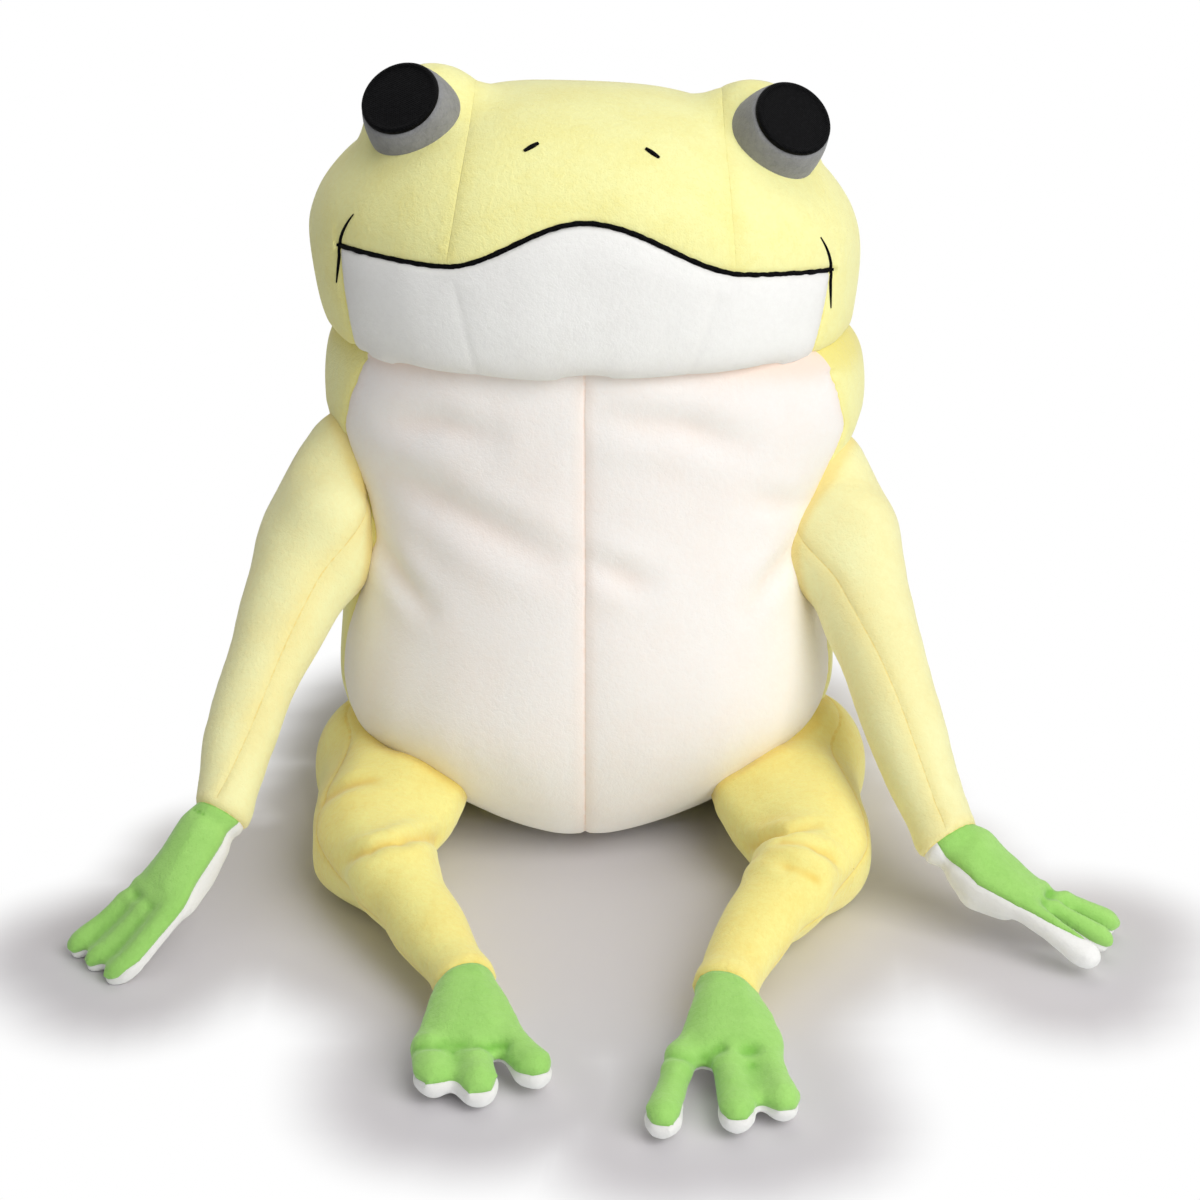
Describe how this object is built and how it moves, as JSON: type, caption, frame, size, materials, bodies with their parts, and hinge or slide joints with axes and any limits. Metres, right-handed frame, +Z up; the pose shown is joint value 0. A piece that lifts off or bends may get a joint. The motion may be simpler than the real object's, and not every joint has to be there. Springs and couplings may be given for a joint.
{
  "type": "seated plush frog",
  "caption": "Seated plush frog in lemon yellow with a broad nodding head, a soft white belly, raised eyes, hanging arms and folded legs with green webless hands and feet",
  "frame": {"origin": "the middle of the flat seat, on the floor", "axes": "+Z up, the toy faces -Y, +X is the toy's own left side"},
  "size_m": [0.4002, 0.3989, 0.3064],
  "materials": {
    "yellow_plush": "short dense pile, matt",
    "limb_plush": "short dense pile, matt",
    "belly_plush": "short dense pile, matt",
    "white_plush": "short dense pile, matt",
    "green_plush": "short dense pile, matt",
    "grey_plush": "short pile, matt",
    "black_embroidery": "satin stitch, slight sheen",
    "black_thread": "matt twisted thread",
    "filling": "loose polyester fibre"
  },
  "bodies": {
    "torso": {"belly_cover_left": "belly_plush", "belly_cover_right": "belly_plush", "back_cover": "yellow_plush", "torso_filling": "filling"},
    "head": {"forehead_cover": "yellow_plush", "cheek_cover_left": "yellow_plush", "cheek_cover_right": "yellow_plush", "jaw_cover": "white_plush", "nape_cover": "yellow_plush", "head_filling": "filling", "mouth_cord": "black_thread", "mouth_corner_left": "black_thread", "mouth_corner_right": "black_thread", "nostril_left": "black_thread", "nostril_right": "black_thread", "eye_cup_left": "grey_plush", "eye_cup_right": "grey_plush", "pupil_left": "black_embroidery", "pupil_right": "black_embroidery"},
    "arm_left": {"arm_cover_left": "yellow_plush", "arm_filling_left": "filling"},
    "hand_left": {"hand_top_left": "green_plush", "hand_palm_left": "white_plush"},
    "thigh_left": {"thigh_cover_left": "limb_plush", "thigh_filling_left": "filling"},
    "shin_left": {"shin_cover_left": "limb_plush", "shin_filling_left": "filling"},
    "foot_left": {"foot_top_left": "green_plush", "foot_sole_left": "white_plush"},
    "arm_right": {"arm_cover_right": "yellow_plush", "arm_filling_right": "filling"},
    "hand_right": {"hand_top_right": "green_plush", "hand_palm_right": "white_plush"},
    "thigh_right": {"thigh_cover_right": "limb_plush", "thigh_filling_right": "filling"},
    "shin_right": {"shin_cover_right": "limb_plush", "shin_filling_right": "filling"},
    "foot_right": {"foot_top_right": "green_plush", "foot_sole_right": "white_plush"}
  },
  "joints": [
    {"name": "head_nod", "type": "hinge", "parent": "torso", "child": "head", "pos_m": [0, -0.014, 0.104], "axis": [-1, 0, 0], "range_deg": [-8, 8]},
    {"name": "shoulder_left", "type": "hinge", "parent": "torso", "child": "arm_left", "pos_m": [0.0983, -0.024, 0.14], "axis": [-0.9613, 0, 0.2756], "range_deg": [0, 60]},
    {"name": "wrist_left", "type": "hinge", "parent": "arm_left", "child": "hand_left", "pos_m": [0.1343, -0.144, 0.045], "axis": [-0.454, -0.891, 0], "range_deg": [-25, 25]},
    {"name": "hip_left", "type": "hinge", "parent": "torso", "child": "thigh_left", "pos_m": [0, -0.06, 0.038], "axis": [-1, 0, 0], "range_deg": [-60, 0]},
    {"name": "knee_left", "type": "hinge", "parent": "thigh_left", "child": "shin_left", "pos_m": [0.081, -0.161, 0.022], "axis": [-1, 0, 0], "range_deg": [-20, 30]},
    {"name": "ankle_left", "type": "hinge", "parent": "shin_left", "child": "foot_left", "pos_m": [0.0525, -0.219, 0.016], "axis": [-1, 0, 0], "range_deg": [-20, 20]},
    {"name": "shoulder_right", "type": "hinge", "parent": "torso", "child": "arm_right", "pos_m": [-0.09646, -0.024, 0.148], "axis": [-0.9613, 0, -0.2756], "range_deg": [0, 60]},
    {"name": "wrist_right", "type": "hinge", "parent": "arm_right", "child": "hand_right", "pos_m": [-0.13696, -0.139, 0.047], "axis": [-0.6691, 0.7431, 0], "range_deg": [-25, 25]},
    {"name": "hip_right", "type": "hinge", "parent": "torso", "child": "thigh_right", "pos_m": [0, -0.06, 0.038], "axis": [-1, 0, 0], "range_deg": [-60, 0]},
    {"name": "knee_right", "type": "hinge", "parent": "thigh_right", "child": "shin_right", "pos_m": [-0.075, -0.155, 0.023], "axis": [-1, 0, 0], "range_deg": [-20, 30]},
    {"name": "ankle_right", "type": "hinge", "parent": "shin_right", "child": "foot_right", "pos_m": [-0.0445, -0.213, 0.016], "axis": [-0.9925, -0.1219, 0], "range_deg": [-20, 20]}
  ]
}
